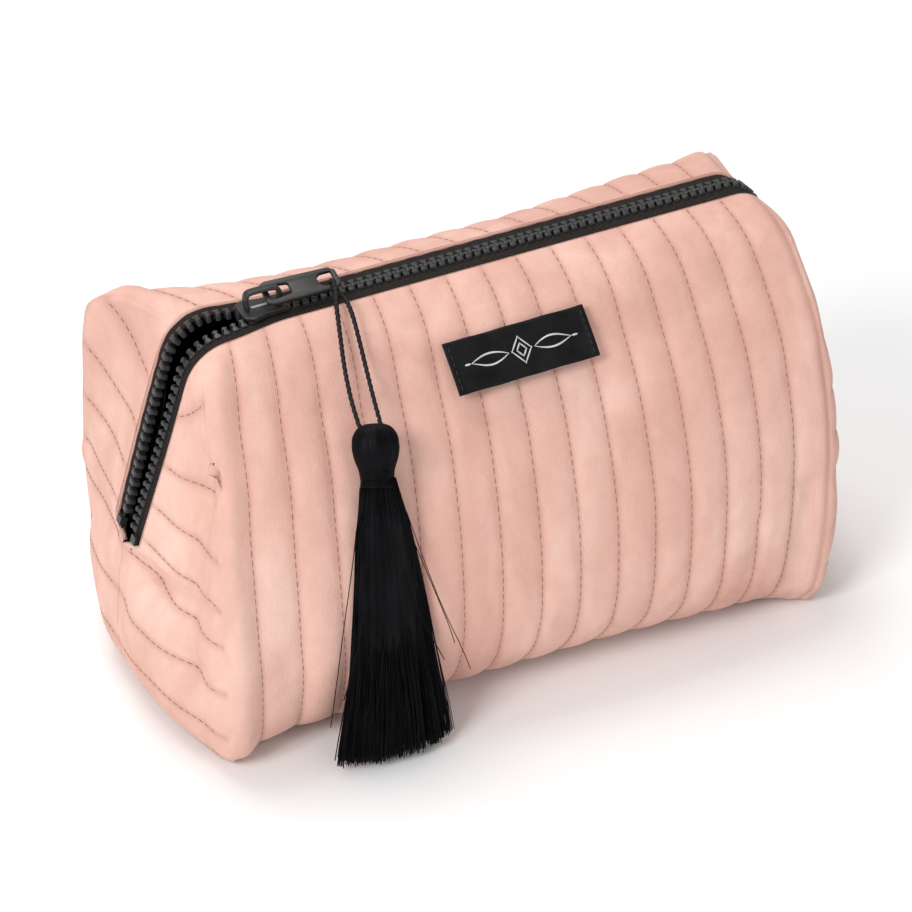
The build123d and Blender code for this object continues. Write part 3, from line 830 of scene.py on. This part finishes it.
def rounded(corners, radii, steps=7):
    """A closed outline with each corner rounded by an arc."""
    points = []
    for i, (here, radius) in enumerate(zip(corners, radii)):
        here = Vector(here)
        a = (Vector(corners[i - 1]) - here)
        b = (Vector(corners[(i + 1) % len(corners)]) - here)
        a.normalize()
        b.normalize()
        half = a.angle(b) / 2
        back = radius / math.tan(half)
        centre = here + (a + b).normalized() * (radius / math.sin(half))
        start, end = here + a * back - centre, here + b * back - centre
        for k in range(steps + 1):
            t = k / steps
            blend = start * (1 - t) + end * t
            points.append(centre + blend.normalized() * radius)
    return points


def cut_plate(outlines, thickness, edge):
    """A flat moulding with holes, its edges rounded: (points, faces) about its mid plane."""
    shape = bpy.data.curves.new("plate", "CURVE")
    shape.dimensions = "2D"
    shape.fill_mode = "BOTH"
    for outline in outlines:
        spline = shape.splines.new("POLY")
        spline.points.add(len(outline) - 1)
        for point, (x, y) in zip(spline.points, outline):
            point.co = (x, y, 0, 1)
        spline.use_cyclic_u = True
    shape.extrude = thickness / 2 - edge
    shape.bevel_depth = edge
    shape.bevel_resolution = 3
    shape.offset = -edge
    holder = bpy.data.objects.new("plate", shape)
    bpy.context.collection.objects.link(holder)
    mesh = bpy.data.meshes.new_from_object(holder)
    verts = [tuple(v.co) for v in mesh.vertices]
    faces = [tuple(f.vertices) for f in mesh.polygons]
    bpy.data.objects.remove(holder)
    return verts, faces


def welded(piece, distance=0.00001):
    """The same piece with its coincident corners made one, facing outward."""
    work = bmesh.new()
    work.from_mesh(piece.data)
    bmesh.ops.remove_doubles(work, verts=work.verts, dist=distance)
    bmesh.ops.recalc_face_normals(work, faces=work.faces)
    work.to_mesh(piece.data)
    work.free()
    return piece


moulded, tree, shader = finish_of("satin_moulding", (0.02, 0.018, 0.017), 0.4, Specular_IOR_Level=0.4)
grain = noise_of(tree, 420, 3)
coloured_by(tree, shader, grain, [(0.3, (0.014, 0.013, 0.012)), (0.7, (0.026, 0.024, 0.023))])
bump_of(tree, shader, (grain, 0.08, 0.0003), (noise_of(tree, 3000, 1), 0.06, 0.00005))

plate_outline = rounded(
    [(-7.5, -4.2), (-5, -6), (0, -4.4), (6.5, -4.2), (6.5, 4.2), (0, 4.4), (-5, 6), (-7.5, 4.2)],
    [1.6, 1.6, 3, 1.4, 1.4, 3, 1.6, 1.6])
plate_verts, plate_faces = cut_plate([plate_outline], PLATE_HIGH - PLATE_LOW, 0.3)
middle = (PLATE_HIGH + PLATE_LOW) / 2
parts = [([(x, y, z + side * middle) for x, y, z in plate_verts], plate_faces) for side in (-1, 1)]
wall_outline = rounded(
    [(-4.9, 5.75), (0, 3.9), (6.3, 3.65), (6.3, 4.15), (0.1, 4.35), (-4.9, 6.0)],
    [0.1, 1, 0.2, 0.2, 1, 0.1])
for side in (-1, 1):
    for low, high in ((-1.6, -0.65), (0.65, 1.6)):
        wall_verts, wall_faces = cut_plate([[(x, y * side) for x, y in wall_outline]], high - low, 0.08)
        parts.append(([(x, y, z + (low + high) / 2) for x, y, z in wall_verts], wall_faces))
wedge_outline = rounded([(-6.9, -0.8), (-4.7, -0.4), (-4.7, 0.4), (-6.9, 0.8)], [0.3] * 4)
parts.append(cut_plate([wedge_outline], 2.9, 0.1))
verts, faces = joined(*parts)
verts = in_place(slider_at, along, Vector((0, 1, 0)), above, verts)
slider = welded(piece_of("slider_moulding", verts, faces, moulded, "slider"))
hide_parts("zip_slider_body")

bridge_line = nurbs_line([Vector(p) for p in (
    (-5.1, 0, 1.9), (-5.3, 0, 4.0), (-5.2, 0, 6.4), (-4.4, 0, 7.5), (-2.4, 0, 7.6), (0, 0, 7.55),
    (2.6, 0, 7.5), (4.3, 0, 7.2), (5.1, 0, 6.2), (5.2, 0, 4.0), (5.0, 0, 1.9))], 6)
bar = rounded([(-1.45, -0.6), (1.45, -0.6), (1.45, 0.6), (-1.45, 0.6)], [0.5] * 4, 4)
verts, faces = swept(bridge_line, bar)
verts = in_place(slider_at, along, Vector((0, 1, 0)), above, [tuple(v) for v in verts])
crown = welded(piece_of("slider_bridge", verts, faces, moulded, "slider"))
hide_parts("slider_crown")

steel, tree, shader = finish_of("spring_steel", (0.5, 0.5, 0.5), 0.3, Metallic=1.0)
bump_of(tree, shader, (noise_of(tree, 900, 2, (1, 12, 1)), 0.1, 0.0001))
frame["nodes"]["slider_lock_spring"].data.materials.clear()
frame["nodes"]["slider_lock_spring"].data.materials.append(steel)

across = Vector((0, math.cos(TAB_ROLL), 0)) + above * math.sin(TAB_ROLL)
face_up = above * math.cos(TAB_ROLL) - Vector((0, math.sin(TAB_ROLL), 0))
to_far = along * math.cos(TAB_DROP) - face_up * math.sin(TAB_DROP)
tab_up = to_far.cross(across)
pivot = slider_at + (along * 1.2 + above * 5.4) * MM
tab_outline = rounded(
    [(-0.9, -3.6), (0.8, -4.5), (20.6, -4.1), (22.5, -2.6),
     (22.5, 2.6), (20.6, 4.1), (0.8, 4.5), (-0.9, 3.6)],
    [0.7, 1.2, 1.0, 0.8, 0.8, 1.0, 1.2, 0.7])
eye = rounded([(0.8, -2.9), (7.4, -2.1), (7.4, 2.1), (0.8, 2.9)], [0.4, 0.7, 0.7, 0.4])
d_hole = rounded([(16.1, -1.3), (17.6, -2.5), (21.0, -2.6), (21.0, 2.6), (17.6, 2.5), (16.1, 1.3)],
                 [1.2, 1.2, 0.3, 0.3, 1.2, 1.2])
verts, faces = cut_plate([tab_outline, eye, d_hole], 1.3, 0.28)
verts = in_place(pivot, to_far, across, tab_up, verts)
tab = welded(piece_of("tab_moulding", verts, faces, moulded, "pull_tab"))
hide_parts("pull_tab")


# The seams inside are bound with a folded black tape, and stops of the same acetal as the
# teeth close the chain at both ends.
bias, tree, shader = finish_of("binding_tape", (0.018, 0.015, 0.016), 0.8, Specular_IOR_Level=0.2)
rib = noise_of(tree, 1400, 2)
coloured_by(tree, shader, rib, [(0.3, (0.011, 0.009, 0.01)), (0.75, (0.027, 0.023, 0.024))])
bump_of(tree, shader, (rib, 0.4, 0.0002))
BINDING_IN = 8.5
BINDING = rounded([(-1.7, -0.5), (1.7, -0.5), (1.7, 0.5), (-1.7, 0.5)], [0.4] * 4, 3)
corner_levels = np.linspace(0.02, 0.82, 60)
seam_levels = np.linspace(0.02, 0.41, 30)
bound = [("front_left_corner_binding", -1, END_SHARE, corner_levels),
         ("front_right_corner_binding", -1, 1 - END_SHARE, corner_levels),
         ("back_left_corner_binding", 1, END_SHARE, corner_levels),
         ("back_right_corner_binding", 1, 1 - END_SHARE, corner_levels),
         ("left_end_binding", 1, 0.0, seam_levels), ("right_end_binding", 1, 1.0, seam_levels)]
for name, side, share, at_levels in bound:
    place = half_form(np.full_like(at_levels, share), at_levels, side)
    x = place[:, 0]
    middle = np.stack([np.clip(x, -70, 70), 0 * x, np.full_like(x, 55)], -1)
    place = place + unit(middle - place) * BINDING_IN
    place[:, 2] = np.maximum(place[:, 2], 4.4)
    verts, faces = swept([Vector(p) for p in place], BINDING)
    strip = piece_of(name + "_tape", np.array([tuple(v) for v in verts]) * MM, faces, bias, "bag")
    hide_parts(name)
base_line = [Vector((x, 0, 3.6)) for x in np.linspace(-88, 84, 40)]
verts, faces = swept(base_line, BINDING)
verts = np.array([tuple(v) for v in verts]) * MM
strip = piece_of("base_seam_binding_tape", verts, faces, bias, "bag")
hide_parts("base_seam_binding")
for name in ("zip_top_stops", "zip_bottom_stop"):
    stop = frame["nodes"][name]
    stop.data.materials.clear()
    stop.data.materials.append(acetal)
    soften_edges(stop, 0.0002)


# The tassel is of glossy rayon threads: folded over a core for the head, bound at the neck
# and hanging free below. A few threads stray from the rest.
HEAD_AT = np.array([-53.5, -48.2, 94.2])
NECK = HEAD_AT + np.array([-1.35, -4.0, -7.6])
THREADS = 1500
THREAD_WIDTH = 0.15
wave = np.random.default_rng(21)

silk, tree, shader = finish_of("black_rayon", (0.002, 0.002, 0.003), 0.5, Specular_IOR_Level=0.06)
lustre = noise_of(tree, 260, 3, (1, 1, 0.15))
coloured_by(tree, shader, lustre, [(0.3, (0.0015, 0.0015, 0.002)), (0.75, (0.007, 0.007, 0.009))])
bump_of(tree, shader, (noise_of(tree, 2400, 2, (1, 1, 0.05)), 0.35, 0.00015))

axis = (HEAD_AT - NECK) / np.linalg.norm(HEAD_AT - NECK)
side_way = np.cross(axis, [0, 1, 0])
side_way /= np.linalg.norm(side_way)
front_way = np.cross(axis, side_way)
HEAD_OUTLINE = [(0.0, 7.2), (2.4, 7.0), (4.7, 5.9), (6.2, 3.6), (6.6, 0.8),
                (6.2, -2.0), (5.4, -4.4), (4.8, -6.4), (4.6, -8.6)]
around = 132
verts = []
levels_of_head = np.linspace(0, len(HEAD_OUTLINE) - 1, 40)
radii = flow(range(len(HEAD_OUTLINE)), [q[0] for q in HEAD_OUTLINE], levels_of_head)
heights = flow(range(len(HEAD_OUTLINE)), [q[1] for q in HEAD_OUTLINE], levels_of_head)
for radius, height in zip(radii, heights):
    for k in range(around):
        angle = 2 * math.pi * k / around
        fine_groove = 0.13 * math.sin(angle * 33 + 0.8 * math.sin(height * 0.9))
        groove_depth = fine_groove + 0.16 * math.sin(angle * 11 + height * 0.25)
        reach = max(radius, 0.02) * (1 + 0.035 * math.sin(3 * angle)) + groove_depth * min(1, radius / 3)
        outward_way = side_way * math.cos(angle) + front_way * math.sin(angle)
        verts.append(HEAD_AT + axis * height + outward_way * reach)
faces = ring_faces(len(radii), around)
faces.append(tuple(range(around)))
faces.append(tuple(range((len(radii) - 1) * around, len(radii) * around)))
head = welded(piece_of("tassel_top", np.array(verts) * MM, faces, silk, "tassel"))
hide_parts("tassel_head")

turns, per_turn = 9, 48
coil = []
for i in range(turns * per_turn + 1):
    angle = 2 * math.pi * i / per_turn
    height = 2.2 - 4.4 * i / (turns * per_turn)
    reach = 4.55 - 0.25 * math.cos(height * 1.1)
    at = NECK + axis * height + (side_way * math.cos(angle) + front_way * math.sin(angle)) * reach
    coil.append(Vector(at))
verts, faces = swept(coil, circle_of(0.32, 8))
verts = np.array([tuple(v) for v in verts]) * MM
binding = piece_of("tassel_binding", verts, faces, silk, "tassel")
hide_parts("tassel_collar")

FOOT = np.array([-57.0, -66.4, 2.4])
SKIRT = [(0.0, 4.7), (0.06, 5.6), (0.16, 7.6), (0.3, 9.2),
         (0.5, 11.2), (0.72, 13.4), (0.9, 15.6), (1.0, 16.6)]
SKIRT_DOWN, SKIRT_OUT = zip(*SKIRT)
FOOT_REACH = 17.5
verts = []
rings, ridges = 26, 240
for t in np.linspace(0, 1, rings):
    middle = NECK * (1 - t) + (FOOT + np.array([0, -0.6, 1.5])) * t
    middle[1] = NECK[1] + (FOOT[1] - NECK[1]) * (1 - (1 - t)**1.7)
    reach = float(flow(SKIRT_DOWN, SKIRT_OUT, t))
    deep = 4.1 * (1 - t) + 2.8 * t
    for k in range(ridges):
        angle = 2 * math.pi * k / ridges
        rough = (1 + 0.03 * math.sin(angle * 60 + 3 * t) + 0.045 * math.sin(angle * 23 + 2 * t)
                 + 0.04 * math.sin(angle * 9))
        outward_way = side_way * math.cos(angle) * reach * 0.9 + front_way * math.sin(angle) * deep
        verts.append(middle + outward_way * rough)
faces = ring_faces(rings, ridges)
faces.append(tuple(range(ridges)))
faces.append(tuple(range((rings - 1) * ridges, rings * ridges)))
parts = [(verts, faces)]
for i in range(THREADS):
    angle = wave.uniform(0, 2 * math.pi)
    share = 0.35 + 0.7 * math.sqrt(wave.uniform(0, 1))
    clump = 0.10 * math.sin(angle * 7 + 2 * share) + 0.07 * math.sin(angle * 13)
    out_x = math.cos(angle) * share
    out_y = math.sin(angle) * share
    start = NECK - axis * 1.2 + (side_way * out_x + front_way * out_y) * 4.6
    foot = FOOT + np.array([out_x * FOOT_REACH * (1 + clump), -abs(out_y) * 2.0 + out_y * 3.6, 0])
    stray = wave.uniform() < 0.008
    if stray:
        foot[0] += math.copysign(wave.uniform(1, 4), out_x)
        foot[2] += wave.uniform(2, 34)
    foot[2] += abs(wave.normal()) * 1.6
    sway = wave.uniform(0, 6.28)
    swing = wave.normal() * 0.6 + (1.2 if stray else 0)
    points = []
    for k in range(13):
        t = k / 12
        p = start * (1 - t) + foot * t
        along_skirt = float(flow(SKIRT_DOWN, SKIRT_OUT, min(1.0, t * 0.98 + 0.02)))
        middle_x = NECK[0] + (foot[0] - out_x * FOOT_REACH * (1 + clump) - NECK[0]) * t
        past_foot = foot[0] - FOOT[0] - out_x * FOOT_REACH * (1 + clump)
        p[0] = middle_x + out_x * along_skirt * (1 + clump * t) + past_foot * t * t
        p[1] = start[1] + (foot[1] - start[1]) * (1 - (1 - t)**1.7)
        p[0] += swing * math.sin(sway + 4.5 * t) * t
        p[1] += 0.35 * math.cos(sway * 1.7 + 5 * t) * t
        points.append(Vector(p))
    fat = THREAD_WIDTH * wave.uniform(0.8, 1.2)
    parts.append(swept(points, circle_of(fat, 4)))
verts, faces = joined(*parts)
verts = [(x, y, max(z, 0.4)) for x, y, z in verts]
skirt = piece_of("tassel_threads", np.array(verts) * MM, faces, silk, "tassel")
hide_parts("tassel_skirt")


# The label is black satin ribbon with its short ends folded under, sewn to the front
# shoulder. It carries a plain ornament woven in silver thread.
LABEL_LENGTH, LABEL_WIDTH = 45.0, 16.0
satin, tree, shader = finish_of("label_satin", (0.005, 0.005, 0.0055), 0.5, Specular_IOR_Level=0.12)
warp = stripes_of(tree, 900, "Z")
shade = noise_of(tree, 240, 2)
coloured_by(tree, shader, shade, [(0.3, (0.004, 0.004, 0.0045)), (0.75, (0.009, 0.009, 0.0095))])
bump_of(tree, shader, (warp, 0.15, 0.00012), (shade, 0.15, 0.0004))
silver, tree, shader = finish_of("silver_thread", (0.62, 0.62, 0.64), 0.4, Metallic=0.35)
bump_of(tree, shader, (noise_of(tree, 2500, 2), 0.3, 0.0001))

label_up = (Vector((0, 35, 0)) + above * 37).normalized()
label_out = along.cross(label_up)
label_at = (slider_at + above * (SKIN - 34) * MM - Vector((0, 47, 0)) * MM + along * (67 - 1.5) * MM
            + label_up * 22 * MM)
QUILT_PHASE = 0.49           # radians of the quilting's rise and fall to each millimetre


def label_lift(u, v):
    """How far the label stands off its flat place, where it lies over the quilting."""
    return 2.2 + 0.35 * math.cos((u + 3) * QUILT_PHASE) - 0.004 * v * v + 0.15 * math.sin(u * 0.21)


columns, rows = 91, 25
verts, faces = [], []
for face_side in (1, 0):
    for r in range(rows):
        for c in range(columns):
            u = (c / (columns - 1) - 0.5) * LABEL_LENGTH
            v = (r / (rows - 1) - 0.5) * LABEL_WIDTH
            folded = 0.3 * float(eased((abs(u) - LABEL_LENGTH / 2 + 1.9) / 0.5))
            edge = max(0.0, abs(v) - LABEL_WIDTH / 2 + 0.3) * 0.5
            lift = label_lift(u, v) + (0.34 + folded - edge if face_side else 0)
            verts.append((u, v, lift))
count = columns * rows
faces = grid_faces(rows, columns)
faces += [tuple(i + count for i in face) for face in grid_faces(rows, columns, True)]
rim = ([c for c in range(columns)] + [r * columns + columns - 1 for r in range(1, rows)]
       + [(rows - 1) * columns + c for c in range(columns - 2, -1, -1)]
       + [r * columns for r in range(rows - 2, 0, -1)])
for a, b in zip(rim, rim[1:] + rim[:1]):
    faces.append((a, a + count, b + count, b))
verts = in_place(label_at, along, label_up, label_out, verts)
label = piece_of("label_ribbon", verts, faces, satin, "bag")
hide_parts("label_patch")


def woven(points, width):
    """A flat raised line of silver thread over the label, tapering to its ends."""
    verts, faces = [], []
    for i, (u, v) in enumerate(points):
        a, b = points[max(i - 1, 0)], points[min(i + 1, len(points) - 1)]
        du, dv = b[0] - a[0], b[1] - a[1]
        size = math.hypot(du, dv)
        half = width * (0.25 + 0.75 * math.sin(math.pi * (i + 0.5) / len(points))) / 2
        for k, rise in ((-1, 0.0), (-0.5, 0.13), (0.5, 0.13), (1, 0.0)):
            w, q = u - dv / size * half * k, v + du / size * half * k
            verts.append((w, q, label_lift(w, q) + 0.33 + rise))
        if i:
            for k in range(3):
                low, high = (i - 1) * 4, i * 4
                faces.append((low + k, high + k, high + k + 1, low + k + 1))
            faces.append(((i - 1) * 4 + 3, i * 4 + 3, i * 4, (i - 1) * 4))
    return verts, faces


lines = []
for hand in (-1, 1):
    for bend in (-1, 1):
        wavy = [(hand * (4.2 + 12.0 * t), bend * 2.1 * math.sin(math.pi * t) * (1 - 0.35 * t))
                for t in np.linspace(0, 1, 30)]
        lines.append(woven(wavy, 0.65))
    lines.append(woven([(hand * (16.4 + 1.8 * t), 0) for t in np.linspace(0, 1, 6)], 0.7))
for size in (4.0, 2.0):
    diamond = [(-size * 0.8, 0), (0, size), (size * 0.8, 0), (0, -size)]
    for a, b in zip(diamond, diamond[1:] + diamond[:1]):
        edge = [(a[0] + (b[0] - a[0]) * t, a[1] + (b[1] - a[1]) * t) for t in np.linspace(-0.06, 1.06, 9)]
        lines.append(woven(edge, 0.55))
verts, faces = joined(*lines)
verts = in_place(label_at, along, label_up, label_out, verts)
piece_of("label_ornament", verts, faces, silver, "bag")

runs = []
for u in (-LABEL_LENGTH / 2 + 1.3, LABEL_LENGTH / 2 - 1.3):
    points = np.array([(u, v, label_lift(u, v) + 0.62) for v in np.linspace(-7.4, 7.4, 24)])
    runs.append((points, np.tile([0.0, 0.0, 1.0], (24, 1))))
verts, faces = sewn(runs, 1.7, 0.6, 0.13)
black_thread, tree, shader = finish_of("black_thread", (0.02, 0.02, 0.02), 0.6)
bump_of(tree, shader, (noise_of(tree, 3000, 2), 0.3, 0.0001))
verts = in_place(label_at, along, label_up, label_out, verts)
stitches = piece_of("label_stitches", verts, faces, black_thread, "bag")
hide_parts("label_stitching")


# The floor is a wide pale sheet that the bag stands on. The light is a bright overcast one,
# with a large lamp at the left front, a soft one at the front and one over the back.
paper, tree, shader = finish_of("studio_paper", (0.9, 0.9, 0.9), 0.8)
mesh = bpy.data.meshes.new("floor")
mesh.from_pydata([(-6, -6, 0), (6, -6, 0), (6, 6, 0), (-6, 6, 0)], [], [(0, 1, 2, 3)])
mesh.materials.append(paper)
floor = bpy.data.objects.new("floor", mesh)
bpy.context.collection.objects.link(floor)

world = bpy.data.worlds.new("studio")
world.use_nodes = True
world.node_tree.nodes["Background"].inputs["Color"].default_value = (1, 1, 1, 1)
world.node_tree.nodes["Background"].inputs["Strength"].default_value = 0.52
bpy.context.scene.world = world
for name, place, size, power in (
        ("key", (-1.2, -0.7, 1.05), 0.6, 15.5),
        ("fill", (0.3, -1.5, 0.5), 1.0, 3.0),
        ("top", (-0.1, 0.6, 1.5), 0.9, 13)):
    light = bpy.data.lights.new(name, "AREA")
    light.size = size
    light.energy = power
    lamp = bpy.data.objects.new(name, light)
    lamp.location = place
    lamp.rotation_euler = (Vector((0, 0, 0.06)) - Vector(place)).to_track_quat("-Z", "Y").to_euler()
    bpy.context.collection.objects.link(lamp)
